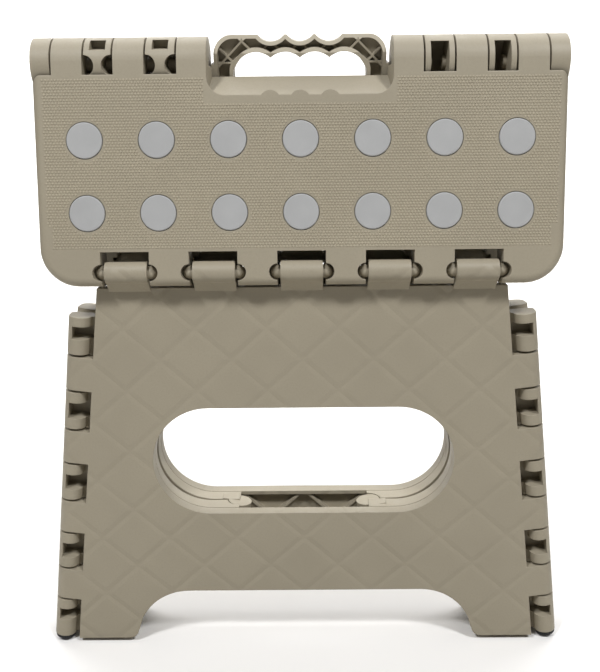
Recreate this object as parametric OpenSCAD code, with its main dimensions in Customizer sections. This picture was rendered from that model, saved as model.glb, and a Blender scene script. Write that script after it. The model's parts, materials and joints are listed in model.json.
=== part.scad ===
// Folding step stool, folded flat and standing on its four rubber feet.
// The tread is two halves joined by a centre hinge. Each half carries a leg panel at its
// outer edge, and two folding end panels of two halves each join the leg panels.
// Origin: floor level, middle of the folded stool. +Z is up and the front faces -Y.

/* [Tread] */
// Width across the tread
tread_w = 297; // [292:1:300]
// Distance from the centre hinge axis to the outer edge of a tread half
tread_reach = 124.4; // [123.5:0.1:126]
// Thickness of the tread, and radius of the centre hinge knuckles
tread_t = 15; // [15:0.1:15.5]
// Radius of the outer corners of the tread
tread_corner = 22; // [14:1:26]
// Rounding along the outer edges of the tread
tread_edge = 5; // [2:0.5:6]
// Pitch of the grip dots, both ways
dot_pitch = 40; // [38:0.5:41]
// Diameter of a grip dot
dot_d = 20; // [14:0.5:22]
// Half width of the hand hole
hand_hole_half = 38; // [34:1:39]

/* [Legs] */
// Height of the leg hinge axes above the floor
hinge_h = 244; // [240:1:252]
// Distance between the centre hinge axis and a leg hinge axis
hinge_reach = 117; // [116.6:0.1:117.4]
// Distance of a leg hinge axis from the middle plane when folded
hinge_y = 24.5; // [24.5:0.1:25.5]
// Outward flare of the leg sides, in degrees
flare = 6.8; // [6:0.1:7.4]
// Half width of a leg panel at the height of the leg hinge axis
leg_half = 118.2; // [116:0.5:120]
// Depth of a leg panel, rim included
leg_depth = 8; // [7:0.5:8]
// Radius of the round ends of the leg grip hole
grip_r = 34.8; // [28:0.5:36]
// Height of the middle of the leg grip hole
grip_h = 124.8; // [118:1:130]
// Height of the arch between the feet
arch_h = 36; // [28:1:38]

/* [Ends] */
// Distance between the two hinge axes of an end half
end_reach = 105.85; // [105.8:0.01:105.9]
// Radius of the corner hinge knuckles
corner_knuckle_r = 6.6; // [6.2:0.1:6.8]
// Radius of the middle hinge knuckles
fold_knuckle_r = 7.4; // [6.4:0.2:7.6]

/* [Walls] */
// Thickness of rims and walls
wall = 2.5; // [2:0.1:3]
// Thickness of the faces
skin = 3; // [2.8:0.1:3.2]
// Thickness of the stiffening ribs
rib = 1.8; // [1.4:0.1:2.2]

/* [Hidden] */
$fn = 96;
beige = [0.64, 0.60, 0.52];
dot_grey = [0.72, 0.72, 0.73];
foot_black = [0.08, 0.08, 0.08];
past = 1;  // how far a cut runs past the surface that it opens
bore_room = 0.4;  // how much deeper a bore is than its pin
running_fit = 0.07;  // radial play of a hinge pin in its bore

// Leg hinge: the axis lies this high above the underside of the tread.
leg_barrel_r = 6.4;
barrel_cover = 0.1;  // how far a barrel stays under the standing surface
hinge_rise = tread_t - leg_barrel_r - barrel_cover;
hinge_run = sqrt(hinge_reach * hinge_reach - hinge_rise * hinge_rise);
reach_lean = asin(hinge_y / hinge_reach);
tread_lean = reach_lean - asin(hinge_rise / hinge_reach);
centre_h = hinge_h + hinge_reach * cos(reach_lean);

// Leg hinge barrels and the slots that they sit in.
barrel_count = 5;
barrel_pitch = 50;
barrel_w = 24.2;
barrel_slot = 27.5;
slot_room = 11.8;  // from a leg hinge axis back to the end of its slot
slot_start = hinge_run - slot_room;
socket_r = 4.7;
leg_pin_r = 3.8;
leg_pin_run = barrel_slot / 2 + 0.3;  // from a barrel's middle to its pin's round end
snap_w = 6.4;
underside_chamfer = 1.5;

// Centre hinge: the ranges along X of the knuckles on one side, innermost first.
front_knuckles = [[51.6, 68], [86, 103], [120, 137]];
rear_knuckles = [[69, 85], [104, 119], [138, tread_w / 2]];
knuckle_gap = 1;
knuckle_clear = tread_t + 1.8;
cheek = 3;
centre_pin_r = 4;
centre_pin_len = 5;
centre_bore_room = 0.5;

// Hand hole, the loop round it, and the notch in the front tread that the loop folds into.
loop_half = 48.8;
loop_reach = 15;
loop_corner = 9;
notch_reach = 19.2;
groove_end = 8;
notch_foot = 6.7;
notch_foot_half = 49.6;
notch_lip = 2;
scallop_pitch = 16.6;
hand_hole_depth = 20;

// Grip dots.
dot_columns = 7;
dot_rows = [43.1, 83.2];
dot_recess = 1.2;
dot_height = 1.9;
dot_play = 0.35;

// Leg panel.
leg_setback = 4.5;  // of the leg face behind the leg hinge axis
leg_drop = 10.1;  // of the top of the panel below the leg hinge axis
leg_face_y = hinge_y - leg_setback;
leg_top = hinge_h - leg_drop;
front_lattice_mid = 190;
leg_foot_gap = 1.9;
grip_run = 57.6;
arch_corner = 34;
arch_half = 108;
foot_round = 6;
lattice_x = 21.2;
lattice_z = 19.4;
rear_lattice_mid = 90 + 4 * lattice_z;

// Corner hinges between the legs and the end halves. The axes lean with the leg sides.
corner_out = 10.3;  // of a corner axis beyond the leg side, at floor level
corner_y = leg_face_y - corner_knuckle_r;
corner_x = leg_half + hinge_h * tan(flare) + corner_out;
corner_pitch = 47.1;
corner_count = 4;
corner_top = 183.2;
corner_len = 20.8;
corner_gap = 1.5;
corner_pin_r = 3.5;
corner_pin_len = 5.5;
loose_play = 0.6;  // radial play at the rear corner hinges, where the linkage closes

// End half, drawn in its own frame: X from the corner axis towards the fold axis,
// Y out through the outer face, Z up along the corner axis.
end_open_angle = 95.25;
end_face = end_reach * sin(end_open_angle - 90);
end_span = end_reach * cos(end_open_angle - 90);
end_tilt = asin(corner_y / end_reach) - (end_open_angle - 90);
end_outer = end_face - 0.35;
end_inset = 2;
end_edge = end_span - 0.4;
end_rim_y = 1.2;  // the ribs start this far from the corner axis
end_top = 215.5;
end_knuckle_top = 217.8;
end_arch = 50.5;
end_foot = 3.6;
end_foot_w = 40;
end_arch_corner = 26;
end_start = 8.2;
fold_pin_r = 3;
fold_pin_len = 4.5;
fold_clear = 0.7;
fold_root = 4;
fold_gap = 1;
edge_gap = 0.8;  // of the middle hinge from the arch and the grip hole

// Rubber feet under the lowest corner knuckles.
foot_r = 6.2;
foot_edge = 1.5;
foot_peg_r = 2.4;
foot_peg_len = 4;
peg_play = 0.05;
foot_base = (foot_edge + (foot_r - foot_edge) * sin(flare)) / cos(flare) - foot_edge;

SIDES = ["left", "right"];
DEPTHS = ["front", "rear"];
function dot_name(half, row, column) = str(half, "_dot_row", row, "_", column);
function end_name(side, depth) = str(side, "_end_", depth);
function foot_name(side, depth) = str(depth, "_", side, "_foot");

// ---- Shared shapes ----

// Extrudes a profile drawn in (Y, Z) from x0 to x1.
module along_x(x0, x1) {
    translate([x0, 0, 0]) rotate([90, 0, 90]) linear_extrude(x1 - x0) children();
}

// Repeats its children on the left and the right.
module both_sides() {
    children();
    mirror([1, 0, 0]) children();
}

// A rectangle with round corners, given by its lower left and upper right corners.
module round_rect(low, high, r) {
    translate([low.x + r, low.y]) square([high.x - low.x - 2 * r, high.y - low.y]);
    translate([low.x, low.y + r]) square([high.x - low.x, high.y - low.y - 2 * r]);
    for (x = [low.x + r, high.x - r], y = [low.y + r, high.y - r]) translate([x, y]) circle(r);
}

// Diagonal bars both ways, crossing at the origin, over a square of half width reach.
module lattice(step_x, step_y, reach) {
    slope = atan2(step_y, step_x);
    count = ceil(reach / step_x);
    for (i = [-count:count], way = [-1, 1])
        translate([2 * i * step_x, 0]) rotate(way * slope) square([4 * reach, rib], center = true);
}

// ---- Tread halves ----
// Each half is drawn flat: Y runs from the centre hinge axis to the outer edge, Z = 0 is
// the underside and Z = tread_t the standing surface.

// Section of the outer edge, with its top rounded.
module edge_section() {
    polygon([
        [0, 0], [tread_edge - underside_chamfer, 0], [tread_edge, underside_chamfer],
        [tread_edge, tread_t - tread_edge], [0, tread_t - tread_edge]
    ]);
    translate([0, tread_t - tread_edge]) intersection() {
        circle(tread_edge);
        square(tread_edge);
    }
}

module tread_slab() {
    half = tread_w / 2;
    straight = tread_reach - tread_corner;
    translate([-half + tread_edge, 0, 0]) cube([tread_w - 2 * tread_edge, straight, tread_t]);
    translate([-half + tread_corner, straight, 0])
        cube([tread_w - 2 * tread_corner, tread_corner - tread_edge, tread_t]);
    along_x(-half + tread_corner, half - tread_corner)
        translate([tread_reach - tread_edge, 0]) edge_section();
    both_sides() {
        translate([half - tread_edge, straight, 0]) rotate([90, 0, 0])
            linear_extrude(straight) edge_section();
        translate([half - tread_corner, straight, 0]) rotate_extrude(angle = 90) {
            square([tread_corner - tread_edge, tread_t]);
            translate([tread_corner - tread_edge, 0]) edge_section();
        }
    }
}

// Blocks left solid round each leg hinge barrel: slot, sockets and bearing walls.
module barrel_blocks() {
    half = leg_pin_run + leg_pin_r + wall;
    for (i = [0:barrel_count - 1])
        translate([(i - (barrel_count - 1) / 2) * barrel_pitch - half, slot_start - wall])
            square([2 * half, tread_reach]);
}

// Hollow under the tread, without the walls that stay. keep_half and keep_reach
// give the solid rim round the hand hole or notch.
module tread_hollow(keep_half, keep_reach) {
    half = tread_w / 2 - wall;
    difference() {
        union() {
            translate([-half, knuckle_clear + wall])
                square([2 * half, tread_reach - tread_corner - knuckle_clear - wall]);
            translate([-half + tread_corner - wall, tread_reach - tread_corner])
                square([2 * (half - tread_corner + wall), tread_corner - wall]);
            for (x = [-1, 1]) translate([x * (half - tread_corner + wall), tread_reach - tread_corner])
                circle(tread_corner - wall);
        }
        barrel_blocks();
        translate([-keep_half, 0]) square([2 * keep_half, keep_reach]);
    }
}

// Cuts the hollow and leaves a lattice of ribs in it, a little below the rim.
module hollow_out(keep_half, keep_reach) {
    rib_drop = 3;
    translate([0, 0, -past]) linear_extrude(rib_drop + past) tread_hollow(keep_half, keep_reach);
    linear_extrude(tread_t - skin) difference() {
        tread_hollow(keep_half, keep_reach);
        translate([0, dot_rows[0] + dot_pitch / 2]) lattice(dot_pitch / 2, dot_pitch / 2, tread_w);
    }
}

// A leg hinge pin with round ends, or with grow the room for one, along X.
module leg_pin(grow) {
    r = leg_pin_r + grow;
    rotate([0, 90, 0]) translate([0, 0, -leg_pin_run]) cylinder(h = 2 * leg_pin_run, r = r);
    for (x = [-leg_pin_run, leg_pin_run]) translate([x, 0, 0]) sphere(r);
}

// Slot, pin bearings, their round windows in front and their snap-in mouths behind.
module barrel_cuts() {
    inner = barrel_slot / 2;
    mouth = leg_pin_run + leg_pin_r - wall / 2;
    for (i = [0:barrel_count - 1]) translate([(i - (barrel_count - 1) / 2) * barrel_pitch, 0, 0]) {
        translate([-inner, slot_start, -past]) cube([barrel_slot, tread_reach, tread_t + 2 * past]);
        translate([0, hinge_run, hinge_rise]) leg_pin(running_fit);
        for (x = [-inner, inner]) translate([x, hinge_run, hinge_rise])
            cylinder(h = tread_t, r = socket_r);
        translate([-mouth, hinge_run - snap_w / 2, -past])
            cube([2 * mouth, snap_w, hinge_rise + past]);
    }
}

// Shallow seats for the grip dots.
module dot_seats() {
    for (row = dot_rows, c = [1:dot_columns])
        translate([dot_x(c), row, tread_t - dot_recess]) cylinder(h = tread_t, r = dot_d / 2 + dot_play);
}

function dot_x(column) = (column - (dot_columns + 1) / 2) * dot_pitch;

// Section of a centre hinge knuckle, round about the axis and joined to the slab.
module knuckle_section() {
    circle(tread_t);
    square([knuckle_clear + wall, tread_t]);
}

// Opening inside a knuckle, towards the underside.
module knuckle_hollow() {
    circle(tread_t - skin);
    translate([-tread_t + skin, -tread_t - past]) square([2 * (tread_t - skin), tread_t + past]);
    translate([0, -tread_t - past]) square([knuckle_clear, 2 * tread_t - skin + past]);
}

module knuckles(ranges) {
    both_sides() for (k = ranges) along_x(k[0], k[1]) knuckle_section();
}

module knuckle_hollows(ranges) {
    for (k = ranges) along_x(k[0] + cheek, k[1] - cheek) knuckle_hollow();
}

// Room for the other half's knuckles, with the gap on both sides of each.
module knuckle_room(ranges) {
    both_sides() for (k = ranges) translate([k[0] - knuckle_gap, 0, 0]) rotate([0, 90, 0])
        cylinder(h = k[1] - k[0] + 2 * knuckle_gap, r = knuckle_clear);
}

// Wavy notch in the front tread: below its lip, the floor and both sides slope inward.
module notch() {
    bump_r = 6;
    bump_drop = 3.3;
    corner = 10;
    top = tread_t - notch_lip;
    half = front_knuckles[0][0];
    slope_top = notch_reach - 0.4;
    side_step = 2;
    translate([0, 0, top]) linear_extrude(notch_lip + past) difference() {
        round_rect([-half, -2 * tread_t], [half, notch_reach], corner);
        for (i = [-1:1]) translate([i * scallop_pitch, notch_reach + bump_drop]) circle(bump_r);
    }
    intersection() {
        along_x(-half, half) polygon([
            [-2 * tread_t, -past], [notch_foot, -past], [notch_foot, 0],
            [slope_top, top], [-2 * tread_t, top]
        ]);
        union() {
            translate([0, slope_top, 0]) rotate([90, 0, 0])
                linear_extrude(slope_top + 2 * tread_t) polygon([
                    [-notch_foot_half, -past], [notch_foot_half, -past], [notch_foot_half, 0],
                    [half, top], [-half, top], [-notch_foot_half, 0]
                ]);
            translate([-half, -2 * tread_t, -past])
                cube([2 * half, 2 * tread_t + side_step, top + past]);
        }
    }
}

module front_tread_flat() {
    color(beige) difference() {
        union() {
            difference() {
                union() {
                    tread_slab();
                    knuckles(front_knuckles);
                }
                knuckle_room(rear_knuckles);
                both_sides() knuckle_hollows(front_knuckles);
                notch();
            }
            front_knuckle_pins();
        }
        hollow_out(front_knuckles[0][0] + wall, notch_reach + wall);
        barrel_cuts();
        dot_seats();
    }
}

// Hinge pins on the faces of the front knuckles that meet a rear knuckle.
module front_knuckle_pins() {
    both_sides() for (k = front_knuckles) {
        reach = knuckle_gap + centre_pin_len;
        low = k[0] < rear_knuckles[0][0] ? k[1] - cheek : k[0] - reach;
        translate([low, 0, 0]) rotate([0, 90, 0]) cylinder(h = k[1] + reach - low, r = centre_pin_r);
    }
}

module rear_knuckle_bores() {
    both_sides() for (k = front_knuckles) {
        reach = knuckle_gap + centre_pin_len + centre_bore_room;
        low = k[0] < rear_knuckles[0][0] ? k[1] : k[0] - reach;
        translate([low, 0, 0]) rotate([0, 90, 0])
            cylinder(h = k[1] + reach - low, r = centre_pin_r + running_fit);
    }
}

// Outline of the loop round the hand hole, with finger dips in its outer edge. The peaks
// between the dips are rounded, and inset draws the same outline further in.
module loop_outline(inset) {
    dip_chord = 15.4;
    dip_depth = 3.6;
    dip_r = (dip_chord * dip_chord / 4 + dip_depth * dip_depth) / 2 / dip_depth;
    difference() {
        round_rect([-loop_half + inset, -loop_reach + inset],
            [loop_half - inset, knuckle_clear + wall + loop_corner], loop_corner - inset / 2);
        for (i = [-1:1]) translate([i * scallop_pitch, -loop_reach - dip_r + dip_depth])
            circle(dip_r + inset);
    }
}

// The hand hole, with finger scallops along its top. grow widens it by that much.
module hand_hole(grow) {
    scallop_r = 12.6 + grow;
    scallop_y = 6.2;
    top = 2.6;
    corner = 8;
    half = hand_hole_half + grow;
    round_rect([-half, -top - grow], [half, hand_hole_depth + grow], corner);
    for (i = [-1.5:1:1.5]) translate([i * scallop_pitch, scallop_y]) circle(scallop_r);
}

// The underside of the loop rises towards its outer edge, to clear the slope of the notch.
module loop_relief() {
    relief_gap = 0.85;
    slope = (notch_reach - notch_foot) / tread_t;
    end = -loop_reach - past;
    start = relief_gap - notch_foot;
    along_x(-loop_half - past, loop_half + past) polygon([
        [end, -past], [start + slope * past, -past], [end, (start - end) / slope]
    ]);
}

// Groove under the loop, between its outer wall and the lip of the hand hole, with
// low crossed ribs at its bottom.
module loop_groove() {
    groove_rib = 1.2;
    groove_lip = 2;
    rib_h = 4;
    rib_pairs = 6;
    module room() {
        intersection() {
            loop_outline(groove_lip);
            translate([-loop_half, -loop_reach]) square([2 * loop_half, loop_reach + groove_end]);
        }
    }
    translate([0, 0, -past]) linear_extrude(tread_t - skin - rib_h + past) difference() {
        room();
        hand_hole(groove_lip);
    }
    linear_extrude(tread_t - skin) difference() {
        room();
        hand_hole(groove_lip);
        for (i = [-rib_pairs:rib_pairs]) translate([(i + 0.5) * scallop_pitch / 2, -loop_reach / 2])
            rotate(i % 2 == 0 ? 45 : -45) square([3 * loop_reach, groove_rib], center = true);
        for (x = [-loop_half, loop_half]) translate([x, 0])
            square([loop_half / 2, groove_rib], center = true);
    }
}

// Left rear knuckles are closed in front, with a window and a bite at each pin.
module closed_knuckle_cuts(k) {
    middle = (k[0] + k[1]) / 2;
    window = [8.8, 4.6, tread_t - past];
    window_top = -13.8;
    bite_r = 5.4;
    bite_rise = 1.4;
    translate([-middle - window.x / 2, window_top, -tread_t]) cube(window);
    for (x = [-k[0], -k[1]]) translate([x, -bite_rise, -tread_t - past])
        cylinder(h = tread_t + past, r = bite_r);
}

module rear_tread_flat() {
    color(beige) difference() {
        union() {
            difference() {
                union() {
                    tread_slab();
                    knuckles(rear_knuckles);
                }
                knuckle_room(front_knuckles);
            }
            difference() {
                linear_extrude(tread_t) loop_outline(0);
                loop_relief();
            }
        }
        loop_groove();
        translate([0, 0, -past]) linear_extrude(tread_t + 2 * past) hand_hole(0);
        knuckle_hollows([for (i = [0, 1]) rear_knuckles[i]]);
        for (i = [0, 1]) closed_knuckle_cuts(rear_knuckles[i]);
        rear_knuckle_bores();
        hollow_out(loop_half, hand_hole_depth + wall);
        barrel_cuts();
        dot_seats();
    }
}

// Puts a flat half where it hangs when the stool is folded.
module hang(half) {
    turn = 90 - tread_lean;
    if (half == "front")
        translate([0, 0, centre_h]) rotate([turn, 0, 0]) rotate([0, 0, 180]) children();
    else
        translate([0, 0, centre_h]) rotate([-turn, 0, 0]) children();
}

module front_tread() {
    hang("front") front_tread_flat();
}

module rear_tread() {
    hang("rear") rear_tread_flat();
}

// One round rubber dot, its top edge softly rounded.
module grip_dot(half, row, column) {
    edge = 0.7;
    r = dot_d / 2;
    x = half == "front" ? -dot_x(column) : dot_x(column);
    color(dot_grey) hang(half) translate([x, dot_rows[row - 1], tread_t - dot_recess])
        rotate_extrude() {
            square([r - edge, dot_height]);
            square([r, dot_height - edge]);
            translate([r - edge, dot_height - edge]) circle(edge);
        }
}

// ---- Leg panels ----

function leg_side(z) = leg_half + (hinge_h - z) * tan(flare);

module arch(grow) {
    lift = arch_h + grow - arch_corner;
    r = arch_corner;
    half = arch_half + grow;
    translate([-half, -past]) square([2 * half, lift + past]);
    translate([-half + r, -past]) square([2 * (half - r), arch_h + grow + past]);
    for (x = [-half + r, half - r]) translate([x, lift]) circle(r);
}

module grip_hole(grow) {
    r = grip_r + grow;
    translate([-grip_run, grip_h - r]) square([2 * grip_run, 2 * r]);
    for (x = [-grip_run, grip_run]) translate([x, grip_h]) circle(r);
}

// Outline of the leg panel, drawn in (X, Z), shrunk by inset on every side.
module leg_outline(inset) {
    low = leg_foot_gap + inset;
    high = leg_top - inset;
    side = inset / cos(flare);
    difference() {
        polygon([
            [-leg_side(low) + side, low], [leg_side(low) - side, low],
            [leg_side(high) - side, high], [-leg_side(high) + side, high]
        ]);
        arch(inset);
        grip_hole(inset);
        if (inset == 0) for (m = [0, 1]) mirror([m, 0]) translate([arch_half, leg_foot_gap]) difference() {
            translate([-past, -past]) square(foot_round + past);
            translate([foot_round, foot_round]) circle(foot_round);
        }
    }
}

// Section of a leg hinge barrel and the tang that joins it to the panel, drawn in (Y, Z).
module barrel_section() {
    front_angle = 200;
    root = 2;
    back = leg_face_y - leg_depth;
    tang_back = [8.3 - hinge_y, leg_top + 0.1];
    translate([-hinge_y, hinge_h]) circle(leg_barrel_r);
    polygon([
        [-hinge_y + leg_barrel_r * cos(front_angle), hinge_h + leg_barrel_r * sin(front_angle)],
        [-leg_face_y, leg_top - root], [-back, leg_top - root], [-back, leg_top],
        tang_back, [-hinge_y + leg_barrel_r - 0.1, hinge_h]
    ]);
}

// The corner hinge axis on the left: Z up along the axis, X inward, Y to the rear.
module at_corner() {
    translate([-corner_x, -corner_y, 0]) rotate([0, flare, 0]) children();
}

function corner_mid(i) = corner_top - i * corner_pitch;

module leg_corner_knuckles() {
    for (i = [0:corner_count - 1]) translate([0, 0, corner_mid(i) - corner_len / 2]) {
        cylinder(h = corner_len, r = corner_knuckle_r);
        translate([0, -corner_knuckle_r, 0]) cube([corner_out + wall, leg_depth, corner_len]);
        translate([0, 0, -corner_gap - corner_pin_len])
            cylinder(h = corner_len + 2 * (corner_gap + corner_pin_len), r = corner_pin_r);
    }
}

// Front leg panel; lattice_mid is the height at which two ribs cross on the middle line.
module leg_panel(lattice_mid) {
    rib_drop = 1;
    color(beige) {
        difference() {
            translate([0, -leg_face_y + leg_depth, 0]) rotate([90, 0, 0])
                linear_extrude(leg_depth) leg_outline(0);
            translate([0, -leg_face_y + leg_depth + past, 0]) rotate([90, 0, 0])
                linear_extrude(rib_drop + past) leg_outline(wall);
            translate([0, -leg_face_y + leg_depth, 0]) rotate([90, 0, 0])
                linear_extrude(leg_depth - skin) difference() {
                    leg_outline(wall);
                    translate([0, lattice_mid]) lattice(lattice_x, lattice_z, leg_top);
                }
        }
        for (i = [0:barrel_count - 1]) {
            x = (i - (barrel_count - 1) / 2) * barrel_pitch;
            along_x(x - barrel_w / 2, x + barrel_w / 2) barrel_section();
            translate([x, -hinge_y, hinge_h]) leg_pin(0);
        }
        both_sides() at_corner() leg_corner_knuckles();
    }
}

module front_leg() {
    leg_panel(front_lattice_mid);
}

module rear_leg() {
    rotate([0, 0, 180]) leg_panel(rear_lattice_mid);
}

// ---- End halves ----

// Inner surface of an end half: level with the leg rims when folded.
function end_inner(x) = end_inset - x * tan(end_tilt);

// Outline drawn in (X, Z) of the end half's frame, shrunk by inset.
module end_outline(inset) {
    right = end_edge - inset;
    left = end_start + inset;
    foot = end_foot_w - inset;
    r = end_arch_corner;
    difference() {
        translate([left, end_foot + inset]) square([right - left, end_top - end_foot - 2 * inset]);
        translate([foot + r, 0]) square([end_span, end_arch + inset]);
        translate([foot, 0]) square([end_span, end_arch + inset - r]);
        translate([foot + r, end_arch + inset - r]) circle(r);
        rotate(flare) translate([corner_x, 0]) grip_hole(inset);
    }
}

// Plan of the end half between its rib side and its outer face.
module end_plan(low) {
    polygon([
        [low, end_inner(low)], [end_edge, end_inner(end_span)],
        [end_edge, end_outer], [low, end_outer]
    ]);
}

// Extrudes an outline drawn in (X, Z) from y0 to y1.
module along_y(y0, y1) {
    translate([0, y1, 0]) rotate([90, 0, 0]) linear_extrude(y1 - y0) children();
}

module end_panel() {
    inner_most = end_inner(end_span) - past;
    difference() {
        intersection() {
            linear_extrude(end_top) end_plan(end_start);
            along_y(inner_most, end_outer + past) end_outline(0);
        }
        along_y(inner_most, end_rim_y) end_outline(wall);
        along_y(inner_most, end_outer - skin) difference() {
            end_outline(wall);
            translate([end_span / 2, (end_arch + end_top) / 2])
                lattice(lattice_z, lattice_z, end_top);
        }
    }
}

// The stretch along the corner axis of corner knuckle i of an end half, counted from the top.
function end_knuckle(i) = [
    i == corner_count ? end_foot : corner_mid(i) + corner_len / 2 + corner_gap,
    i == 0 ? end_knuckle_top : corner_mid(i - 1) - corner_len / 2 - corner_gap
];

// Plan of a corner knuckle: a round hook joined to the panel.
module hook_plan() {
    near = end_start + 0.8;
    far = end_start + 4;
    circle(corner_knuckle_r);
    polygon([
        [0, -wall - 0.5], [near, end_inner(end_start)], [far, end_inner(far)],
        [far, end_outer], [0, end_outer]
    ]);
    intersection() {
        circle(end_outer);
        translate([-corner_knuckle_r, 0]) square([corner_knuckle_r, end_outer]);
    }
}

// Corner knuckles with their pin bores and the deep pocket behind each hook.
module end_corner_knuckles(play) {
    hook_wall = 3.2;
    block = corner_pin_len + 1.2;
    lowest_block = 12;
    top_block = [9.5, 5.5];
    depth = corner_pin_len + bore_room;
    for (i = [0:corner_count]) {
        k = end_knuckle(i);
        low_block = i == corner_count ? lowest_block : i == 0 ? top_block[0] : block;
        high_block = i == 0 ? top_block[1] : block;
        difference() {
            translate([0, 0, k[0]]) linear_extrude(k[1] - k[0]) hook_plan();
            translate([-corner_knuckle_r + hook_wall, -corner_knuckle_r - past, k[0] + low_block])
                cube([
                    end_foot_w, corner_knuckle_r + past + end_outer - skin,
                    k[1] - k[0] - low_block - high_block
                ]);
            if (i < corner_count) translate([0, 0, k[0] - past])
                cylinder(h = depth + past, r = corner_pin_r + play);
            if (i > 0) translate([0, 0, k[1] - depth])
                cylinder(h = depth + past, r = corner_pin_r + play);
            if (i == corner_count) translate([0, 0, k[0] - past])
                cylinder(h = foot_peg_len + bore_room + past, r = foot_peg_r + peg_play);
        }
    }
}

// Lower and upper run of the middle hinge, below and above the grip hole.
fold_runs = [
    [end_arch + edge_gap, grip_edge(-1) - edge_gap],
    [grip_edge(1) + edge_gap, end_top]
];
fold_count = 4;

// Height along the fold axis at which the grip hole's lower or upper edge meets it.
function grip_edge(way) = (grip_h + way * grip_r + end_span * sin(flare)) / cos(flare);

function fold_pitch(run) = (run[1] - run[0] + fold_gap) / fold_count;

function fold_range(run, i) = [
    run[0] + i * fold_pitch(run),
    run[0] + (i + 1) * fold_pitch(run) - fold_gap
];

module at_fold() {
    translate([end_span, end_face, 0]) children();
}

// Middle hinge knuckles: even ones carry pins.
module fold_knuckles(first) {
    for (run = fold_runs, i = [first:2:fold_count - 1]) {
        k = fold_range(run, i);
        pin_low = i == 0 ? 0 : fold_gap + fold_pin_len;
        pin_high = fold_gap + fold_pin_len;
        at_fold() {
            translate([0, 0, k[0]]) cylinder(h = k[1] - k[0], r = fold_knuckle_r);
            translate([-fold_knuckle_r - fold_root, -fold_knuckle_r, k[0]])
                cube([fold_knuckle_r + fold_root, fold_knuckle_r - end_face + end_outer, k[1] - k[0]]);
            if (first == 0) translate([0, 0, k[0] - pin_low])
                cylinder(h = k[1] - k[0] + pin_low + pin_high, r = fold_pin_r);
        }
    }
}

// Bores for the pins of the other half, in the odd knuckles.
module fold_bores() {
    depth = fold_pin_len + bore_room + past;
    for (run = fold_runs, i = [1:2:fold_count - 1]) {
        k = fold_range(run, i);
        at_fold() {
            translate([0, 0, k[0] - past]) cylinder(h = depth, r = fold_pin_r + running_fit);
            if (i < fold_count - 1) translate([0, 0, k[1] - depth + past])
                cylinder(h = depth, r = fold_pin_r + running_fit);
        }
    }
}

// Room for the knuckles of the other half.
module fold_room(first) {
    for (run = fold_runs, i = [first:2:fold_count - 1]) {
        k = fold_range(run, i);
        at_fold() translate([0, 0, k[0] - fold_gap])
            cylinder(h = k[1] - k[0] + 2 * fold_gap, r = fold_knuckle_r + fold_clear);
    }
}

// One end half in its own frame. first is 0 for the half with pins, 1 for the one with bores.
module end_half(first, play) {
    color(beige) {
        difference() {
            union() {
                difference() {
                    end_panel();
                    fold_room(1 - first);
                }
                fold_knuckles(first);
            }
            if (first == 1) fold_bores();
        }
        end_corner_knuckles(play);
    }
}

// Puts a piece drawn in the end half's frame at one of the four corners.
module at_quarter(side, depth) {
    mirror([side == "right" ? 1 : 0, 0, 0]) mirror([0, depth == "rear" ? 1 : 0, 0])
        at_corner() rotate([0, 0, end_tilt]) children();
}

module end_at(side, depth) {
    pins = (side == "left") == (depth == "front");
    at_quarter(side, depth) end_half(pins ? 0 : 1, depth == "rear" ? loose_play : running_fit);
}

// ---- Rubber feet ----

module rubber_foot(side, depth) {
    color(foot_black) at_quarter(side, depth) {
        rotate_extrude() {
            translate([0, foot_base]) square([foot_r - foot_edge, end_foot - foot_base]);
            translate([0, foot_base + foot_edge]) square([foot_r, end_foot - foot_base - foot_edge]);
            translate([foot_r - foot_edge, foot_base + foot_edge]) circle(foot_edge);
        }
        translate([0, 0, end_foot]) cylinder(h = foot_peg_len, r = foot_peg_r);
    }
}

// ---- Nodes ----

front_tread();
rear_tread();
front_leg();
rear_leg();
for (s = SIDES, d = DEPTHS) {
    end_at(s, d);
    rubber_foot(s, d);
}
for (h = DEPTHS, r = [1, 2], c = [1:dot_columns])
    grip_dot(h, r, c);
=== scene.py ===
"""Looks of the folding step stool: moulded plastic, grip dots and rubber feet round the CAD frame."""

import json
import math

import bmesh
import bpy
from mathutils import Matrix, Vector


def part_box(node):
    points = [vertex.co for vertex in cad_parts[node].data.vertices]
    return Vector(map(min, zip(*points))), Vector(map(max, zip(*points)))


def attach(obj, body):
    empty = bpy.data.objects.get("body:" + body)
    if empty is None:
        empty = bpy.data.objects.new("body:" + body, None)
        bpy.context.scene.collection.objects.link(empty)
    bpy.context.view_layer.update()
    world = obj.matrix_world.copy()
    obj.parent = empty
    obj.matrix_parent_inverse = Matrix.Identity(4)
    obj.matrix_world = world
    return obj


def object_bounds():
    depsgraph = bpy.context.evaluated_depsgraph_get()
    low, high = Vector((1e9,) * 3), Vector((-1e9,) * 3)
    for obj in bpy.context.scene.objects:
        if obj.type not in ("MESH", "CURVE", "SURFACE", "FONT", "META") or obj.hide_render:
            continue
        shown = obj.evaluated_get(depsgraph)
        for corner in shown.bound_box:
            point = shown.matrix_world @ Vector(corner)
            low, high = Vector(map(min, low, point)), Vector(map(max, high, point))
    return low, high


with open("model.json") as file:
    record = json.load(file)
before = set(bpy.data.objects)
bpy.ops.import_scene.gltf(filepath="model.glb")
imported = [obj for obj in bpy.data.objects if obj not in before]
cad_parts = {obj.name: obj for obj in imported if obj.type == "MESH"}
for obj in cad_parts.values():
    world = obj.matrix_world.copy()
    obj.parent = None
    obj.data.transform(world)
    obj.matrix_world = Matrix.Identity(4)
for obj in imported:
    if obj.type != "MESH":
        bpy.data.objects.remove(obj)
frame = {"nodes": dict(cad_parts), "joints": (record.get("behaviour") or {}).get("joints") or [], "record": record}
cad_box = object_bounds()

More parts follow.
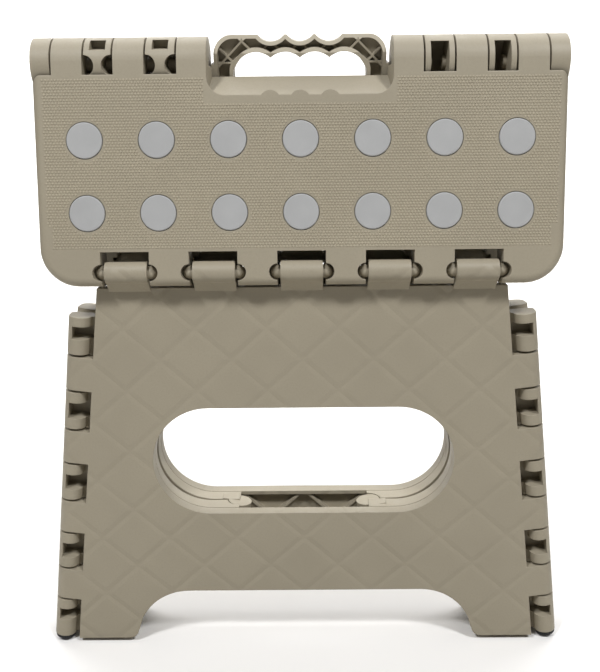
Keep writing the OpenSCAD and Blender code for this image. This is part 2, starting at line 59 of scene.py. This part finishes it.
MM = 0.001
RECORD = frame["record"]
NODE_SLOT = {s["node"]: s["material_slot"] for s in RECORD["subparts"]}
JOINT = {j["name"]: j for j in frame["joints"]}
MOUNT = {m["name"]: m for m in RECORD["mounts"]}


# ---- Camera, floor and light ----

# Where the camera stands, in millimetres, and how it is turned, in degrees.
CAMERA_MM = (1.0, -504.1, 333.8)
PITCH_DOWN = 14.97
YAW = -0.285
ROLL = -0.568
FOCAL_PIXELS = 850.0
IMAGE_LONG_SIDE = 672.0
SENSOR_MM = 36.0
CLIP = (0.01, 20.0)

# The sweep's profile runs level from front to back, then bends up into a wall. Metres.
SWEEP_FRONT, SWEEP_LEVEL_END = -1.5, 1.2
SWEEP_BEND, SWEEP_BEND_STEPS = 0.8, 12
SWEEP_TOP, SWEEP_HALF_WIDTH = 4.0, 1.7
PAPER_SEEN = (0.965, 0.955, 0.945, 1.0)
PAPER_BOUNCE = (0.52, 0.50, 0.46, 1.0)
PAPER_ROUGHNESS = 0.9

# The sky is white where the camera sees it, and lights the stool only a little.
SKY_SEEN, SKY_FILL = 1.0, 0.09

# Name, place, target, width and depth in metres, and power in watts.
LIGHTS = (
    ("key_left", (-0.85, -1.1, 1.85), (0.0, 0.0, 0.2), (0.3, 0.3), 24.5),
    ("key_right", (0.85, -1.1, 1.85), (0.0, 0.0, 0.2), (0.3, 0.3), 24.5),
    ("overhead", (0.0, 0.4, 1.9), (0.0, 0.2, 0.0), (1.6, 0.6), 6.0),
    ("back_wash", (0.0, 1.0, 1.8), (0.0, 1.9, 0.5), (3.0, 1.0), 60.0),
)


def make_camera():
    data = bpy.data.cameras.new("camera")
    data.sensor_width = SENSOR_MM
    data.lens = FOCAL_PIXELS * SENSOR_MM / IMAGE_LONG_SIDE
    data.clip_start, data.clip_end = CLIP
    cam = bpy.data.objects.new("camera", data)
    bpy.context.scene.collection.objects.link(cam)
    look = (
        Matrix.Rotation(math.radians(-YAW), 4, "Z")
        @ Matrix.Rotation(math.radians(90.0 - PITCH_DOWN), 4, "X")
        @ Matrix.Rotation(math.radians(ROLL), 4, "Z")
    )
    cam.matrix_world = Matrix.Translation(Vector(CAMERA_MM) * MM) @ look
    bpy.context.scene.camera = cam


def area_light(name, place, target, size, power):
    data = bpy.data.lights.new(name, "AREA")
    data.shape = "RECTANGLE"
    data.size, data.size_y = size
    data.energy = power
    lamp = bpy.data.objects.new(name, data)
    bpy.context.scene.collection.objects.link(lamp)
    lamp.location = place
    lamp.rotation_mode = "QUATERNION"
    lamp.rotation_quaternion = (Vector(target) - Vector(place)).to_track_quat("-Z", "Y")


def floor_paper():
    """Matte white paper that throws back less light on the stool than it shows."""
    mat = bpy.data.materials.new("floor")
    mat.use_nodes = True
    tree = mat.node_tree
    shader = tree.nodes["Principled BSDF"]
    shader.inputs["Base Color"].default_value = PAPER_SEEN
    shader.inputs["Roughness"].default_value = PAPER_ROUGHNESS
    dim = tree.nodes.new("ShaderNodeBsdfDiffuse")
    dim.inputs["Color"].default_value = PAPER_BOUNCE
    path = tree.nodes.new("ShaderNodeLightPath")
    either = tree.nodes.new("ShaderNodeMixShader")
    tree.links.new(path.outputs["Is Diffuse Ray"], either.inputs[0])
    tree.links.new(shader.outputs[0], either.inputs[1])
    tree.links.new(dim.outputs[0], either.inputs[2])
    tree.links.new(either.outputs[0], tree.nodes["Material Output"].inputs["Surface"])
    return mat


def make_sweep():
    """A white paper sweep that starts under the feet and rises behind the stool."""
    profile = [(SWEEP_FRONT, 0.0), (SWEEP_LEVEL_END, 0.0)]
    for i in range(1, SWEEP_BEND_STEPS + 1):
        a = math.pi / 2 * i / SWEEP_BEND_STEPS
        profile.append((SWEEP_LEVEL_END + SWEEP_BEND * math.sin(a), SWEEP_BEND * (1 - math.cos(a))))
    profile.append((SWEEP_LEVEL_END + SWEEP_BEND, SWEEP_TOP))
    ground = cad_box[0][2]
    verts = [(x, y, ground + z) for y, z in profile for x in (-SWEEP_HALF_WIDTH, SWEEP_HALF_WIDTH)]
    faces = [(2 * i, 2 * i + 1, 2 * i + 3, 2 * i + 2) for i in range(len(profile) - 1)]
    mesh = bpy.data.meshes.new("floor")
    mesh.from_pydata(verts, [], faces)
    mesh.shade_smooth()
    mesh.materials.append(floor_paper())
    floor = bpy.data.objects.new("floor", mesh)
    bpy.context.scene.collection.objects.link(floor)


def make_sky():
    world = bpy.data.worlds.new("studio")
    world.use_nodes = True
    tree = world.node_tree
    sky = tree.nodes["Background"]
    sky.inputs["Color"].default_value = (1.0, 1.0, 1.0, 1.0)
    path = tree.nodes.new("ShaderNodeLightPath")
    level = tree.nodes.new("ShaderNodeMapRange")
    level.inputs["To Min"].default_value = SKY_FILL
    level.inputs["To Max"].default_value = SKY_SEEN
    tree.links.new(path.outputs["Is Camera Ray"], level.inputs["Value"])
    tree.links.new(level.outputs["Result"], sky.inputs["Strength"])
    bpy.context.scene.world = world


def make_studio():
    """The sweep and sky, two high keys in front, and lights over and behind the stool."""
    make_sweep()
    make_sky()
    bpy.context.scene.view_settings.view_transform = "Standard"
    for light in LIGHTS:
        area_light(*light)


# ---- Material helpers ----

# The Mix node has a set of sockets for each data type. These are the colour ones.
MIX_A, MIX_B, MIX_RESULT = 6, 7, 2

BEVEL_SAMPLES = 6
# How far the rounded normal agrees with the true one, on a flat face and on an edge.
FLAT_COSINE, EDGE_COSINE = 0.97, 0.75


class Nodes:
    """Short hand for building one material's node tree."""

    def __init__(self, name):
        self.material = bpy.data.materials.new(name)
        self.material.use_nodes = True
        self.tree = self.material.node_tree
        self.shader = self.tree.nodes["Principled BSDF"]

    def add(self, kind, **settings):
        node = self.tree.nodes.new(kind)
        for key, value in settings.items():
            setattr(node, key, value)
        return node

    def link(self, source, target):
        self.tree.links.new(source, target)

    def value(self, target, source):
        """Feed a socket with another node's output, or set it to a fixed value."""
        if hasattr(source, "is_output"):
            self.link(source, target)
        else:
            target.default_value = source

    def math(self, operation, a, b=0.0, clamp=False):
        node = self.add("ShaderNodeMath", operation=operation, use_clamp=clamp)
        self.value(node.inputs[0], a)
        self.value(node.inputs[1], b)
        return node.outputs[0]

    def place(self):
        return self.add("ShaderNodeTexCoord").outputs["Object"]

    def noise(self, scale, detail=2.0, roughness=0.5):
        node = self.add("ShaderNodeTexNoise")
        self.link(self.place(), node.inputs["Vector"])
        node.inputs["Scale"].default_value = scale
        node.inputs["Detail"].default_value = detail
        node.inputs["Roughness"].default_value = roughness
        return node.outputs["Fac"]

    def remap(self, source, low, high, to_low, to_high):
        node = self.add("ShaderNodeMapRange")
        self.link(source, node.inputs["Value"])
        limits = {"From Min": low, "From Max": high, "To Min": to_low, "To Max": to_high}
        for key, value in limits.items():
            node.inputs[key].default_value = value
        return node.outputs["Result"]

    def mix(self, factor, a, b):
        node = self.add("ShaderNodeMix", data_type="RGBA")
        self.value(node.inputs[0], factor)
        self.value(node.inputs[MIX_A], a)
        self.value(node.inputs[MIX_B], b)
        return node.outputs[MIX_RESULT]

    def rounded(self, radius):
        """The surface normal with sharp edges rounded to this radius."""
        node = self.add("ShaderNodeBevel", samples=BEVEL_SAMPLES)
        node.inputs["Radius"].default_value = radius
        return node.outputs["Normal"]

    def edge(self, radius):
        """1 along sharp edges, 0 on flat faces."""
        compare = self.add("ShaderNodeVectorMath", operation="DOT_PRODUCT")
        self.link(self.rounded(radius), compare.inputs[0])
        self.link(self.add("ShaderNodeNewGeometry").outputs["Normal"], compare.inputs[1])
        return self.remap(compare.outputs["Value"], FLAT_COSINE, EDGE_COSINE, 0.0, 1.0)

    def bump(self, height, distance, strength=1.0, normal=None):
        node = self.add("ShaderNodeBump")
        self.link(height, node.inputs["Height"])
        node.inputs["Distance"].default_value = distance
        node.inputs["Strength"].default_value = strength
        if normal is not None:
            self.link(normal, node.inputs["Normal"])
        return node.outputs["Normal"]


def shade(colour, factor):
    return tuple(c * factor for c in colour) + (1.0,)


# ---- Materials ----

PLASTIC = (0.342, 0.304, 0.230)
# The raised grain bumps are a lighter copy of the tread plastic: partly worn bump tops, partly painted highlight.
GRAIN_WEAR_AND_HIGHLIGHT_TINT = 1.22
EDGE_ROUNDING = 0.6 * MM
# Width of the band painted lighter along sharp edges: partly rubbed wear, partly painted highlight.
EDGE_WEAR_AND_HIGHLIGHT = 0.9 * MM

# The crossed ribs behind a leg face: a diamond's width and height, and the height of one crossing.
DIAMOND_ACROSS, DIAMOND_UP, DIAMOND_CENTRE = 42.4 * MM, 38.8 * MM, 190.0 * MM
DIAMOND_LINE = 0.10
SINK_DEPTH = 0.30 * MM
WHOLE_TURNS = 100.0

DOT_GREY = (0.405, 0.41, 0.415)
FOOT_BLACK = (0.012, 0.012, 0.013)


def plastic(name, ribs=None, soft=True, tint=1.0):
    """Matte moulded plastic: cloudy pigment and satin grain, with soft edges painted lighter (partly rubbed wear,
    partly painted highlight), and sink marks.
    """
    n = Nodes(name)
    pigment = [c * tint for c in PLASTIC]
    cloud = n.noise(22.0, 3.0)
    fleck = n.noise(900.0, 2.0)
    base = n.mix(n.remap(cloud, 0.3, 0.7, 0.0, 1.0), shade(pigment, 0.965), shade(pigment, 1.035))
    base = n.mix(n.remap(fleck, 0.45, 0.75, 0.0, 0.5), base, shade(pigment, 0.9))
    if soft:
        # Sharp edges painted lighter in patches: partly rubbed wear, partly painted highlight.
        patchy = n.remap(n.noise(45.0, 3.0), 0.35, 0.65, 0.1, 0.5)
        wear_and_highlight = n.math("MULTIPLY", n.edge(EDGE_WEAR_AND_HIGHLIGHT), patchy, clamp=True)
        base = n.mix(wear_and_highlight, base, shade(pigment, 1.3))
    n.link(base, n.shader.inputs["Base Color"])
    scuff = n.noise(60.0, 5.0, 0.65)
    n.link(n.remap(scuff, 0.3, 0.75, 0.46, 0.62), n.shader.inputs["Roughness"])
    n.shader.inputs["Specular IOR Level"].default_value = 0.45
    normal = n.bump(n.noise(1500.0, 2.0), 0.04 * MM, 0.5, n.rounded(EDGE_ROUNDING) if soft else None)
    normal = n.bump(n.noise(9.0, 1.0), 2.5 * MM, 0.12, normal)
    if ribs:
        normal = n.bump(ribs(n), SINK_DEPTH, 1.0, normal)
    n.link(normal, n.shader.inputs["Normal"])
    return n.material


def diamond_ribs(n):
    """Height of the sink marks over the crossed ribs behind a leg face."""
    split = n.add("ShaderNodeSeparateXYZ")
    n.link(n.place(), split.inputs[0])
    across = n.math("DIVIDE", split.outputs[0], DIAMOND_ACROSS)
    up = n.math("DIVIDE", n.math("SUBTRACT", split.outputs[2], DIAMOND_CENTRE), DIAMOND_UP)
    marks = None
    for way in ("ADD", "SUBTRACT"):
        run = n.math(way, across, up)
        part = n.math("FRACT", n.math("ADD", run, WHOLE_TURNS + 0.5))
        off = n.math("ABSOLUTE", n.math("SUBTRACT", part, 0.5))
        mark = n.remap(off, 0.0, DIAMOND_LINE, 0.0, 1.0)
        marks = mark if marks is None else n.math("MULTIPLY", marks, mark)
    return marks


def rubber(name, colour, grain, rough):
    """Soft rubber with a fine grain and dusty, uneven sheen."""
    n = Nodes(name)
    dust = n.noise(70.0, 4.0)
    fine = n.noise(grain, 2.0)
    base = n.mix(n.remap(dust, 0.35, 0.7, 0.0, 1.0), shade(colour, 0.97), shade(colour, 1.04))
    base = n.mix(n.remap(fine, 0.5, 0.8, 0.0, 0.35), base, shade(colour, 0.88))
    n.link(base, n.shader.inputs["Base Color"])
    n.link(n.remap(dust, 0.3, 0.7, rough - 0.06, rough + 0.06), n.shader.inputs["Roughness"])
    n.shader.inputs["Specular IOR Level"].default_value = 0.35
    n.link(n.bump(fine, 0.08 * MM, 0.5), n.shader.inputs["Normal"])
    return n.material


MATERIALS = {
    "tread_plastic": plastic("tread_plastic"),
    "leg_plastic": plastic("leg_plastic", diamond_ribs),
    "end_plastic": plastic("end_plastic"),
    # Grain bumps painted lighter than the tread: partly worn tops, partly painted highlight.
    "grain_plastic": plastic("grain_plastic", soft=False, tint=GRAIN_WEAR_AND_HIGHLIGHT_TINT),
    "grip_dot": rubber("grip_dot", DOT_GREY, 2600.0, 0.62),
    "foot_rubber": rubber("foot_rubber", FOOT_BLACK, 1800.0, 0.7),
}


# ---- Grip bumps on the standing surface, in millimetres ----

# Bumps stand this far apart in a row, and the rows this far apart.
GRAIN_PITCH = 1.8
GRAIN_ROW = 1.56
# Half the width of a bump's foot and top from corner to corner, and how deep and high it goes.
GRAIN_FOOT, GRAIN_TOP = 0.88, 0.46
GRAIN_SUNK, GRAIN_PROUD = 0.06, 0.34
# Bare margin at each side, and the first and last row's distance from the centre hinge.
GRAIN_SIDE = 5.4
GRAIN_RUN = (10.4, 103.0)
# The bare outer corners, the bare field round the notch, and a dot's bare ring.
CORNER_SIDE, CORNER_RUN = 3.0, 12.0
NOTCH_HALF, NOTCH_RUN = 53.4, 23.6
DOT_ROOM = 11.5
BUMP_CORNERS = ((-1, 0), (0, -1), (1, 0), (0, 1))


def tread_grain(half):
    """The standing surface's fine raised bumps: low diamond-shaped frustums in staggered rows."""
    sign = -1.0 if half == "front" else 1.0
    axis = Vector(MOUNT[half + "_tread_face"]["axis"])
    hinge = Vector(JOINT["tread_fold"]["pos_m"])
    face = (Vector(MOUNT[half + "_tread_face"]["pos_m"]) - hinge).dot(axis)
    down = Vector((0.0, sign * axis.z, -abs(axis.y)))
    low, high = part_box(half + "_tread")
    reach = (high[0] - low[0]) / 2 / MM - GRAIN_SIDE
    dots = []
    for name in frame["nodes"]:
        if name.startswith(half + "_dot"):
            a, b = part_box(name)
            centre = (Vector(a) + Vector(b)) / 2 - hinge
            dots.append((centre.x / MM, centre.dot(down) / MM))

    def bare(x, run):
        return (
            abs(x) > reach
            or (abs(x) < NOTCH_HALF and run < NOTCH_RUN)
            or (abs(x) > reach - CORNER_SIDE and run > GRAIN_RUN[1] - CORNER_RUN)
            or any((x - dx) ** 2 + (run - dy) ** 2 < DOT_ROOM ** 2 for dx, dy in dots)
        )

    verts, faces = [], []
    rows = int((GRAIN_RUN[1] - GRAIN_RUN[0]) / GRAIN_ROW)
    columns = int(reach / GRAIN_PITCH)
    for r in range(rows + 1):
        run = GRAIN_RUN[0] + r * GRAIN_ROW
        for c in range(-columns, columns + 1):
            x = (c + 0.5 * (r % 2)) * GRAIN_PITCH
            if bare(x, run):
                continue
            first = len(verts)
            for size, rise in ((GRAIN_FOOT, -GRAIN_SUNK), (GRAIN_TOP, GRAIN_PROUD)):
                for a, b in BUMP_CORNERS:
                    across = Vector((x + a * size, 0.0, 0.0)) * MM
                    verts.append(hinge + across + down * (run + b * size) * MM + axis * (face + rise * MM))
            faces.append([first, first + 3, first + 2, first + 1])
            faces.append([first + 4, first + 5, first + 6, first + 7])
            for k in range(4):
                n = (k + 1) % 4
                faces.append([first + k, first + n, first + 4 + n, first + 4 + k])
    mesh = bpy.data.meshes.new(half + "_tread_grain")
    mesh.from_pydata(verts, [], faces)
    made = bmesh.new()
    made.from_mesh(mesh)
    bmesh.ops.recalc_face_normals(made, faces=made.faces)
    made.to_mesh(mesh)
    made.free()
    mesh.materials.append(MATERIALS["grain_plastic"])
    piece = bpy.data.objects.new(half + "_tread_grain", mesh)
    bpy.context.scene.collection.objects.link(piece)
    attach(piece, half + "_tread")


def dress_nodes():
    """Give every CAD node the material of its slot."""
    for name, obj in frame["nodes"].items():
        obj.data.materials.clear()
        obj.data.materials.append(MATERIALS[NODE_SLOT[name]])


make_camera()
make_studio()
dress_nodes()
for half in ("front", "rear"):
    tread_grain(half)
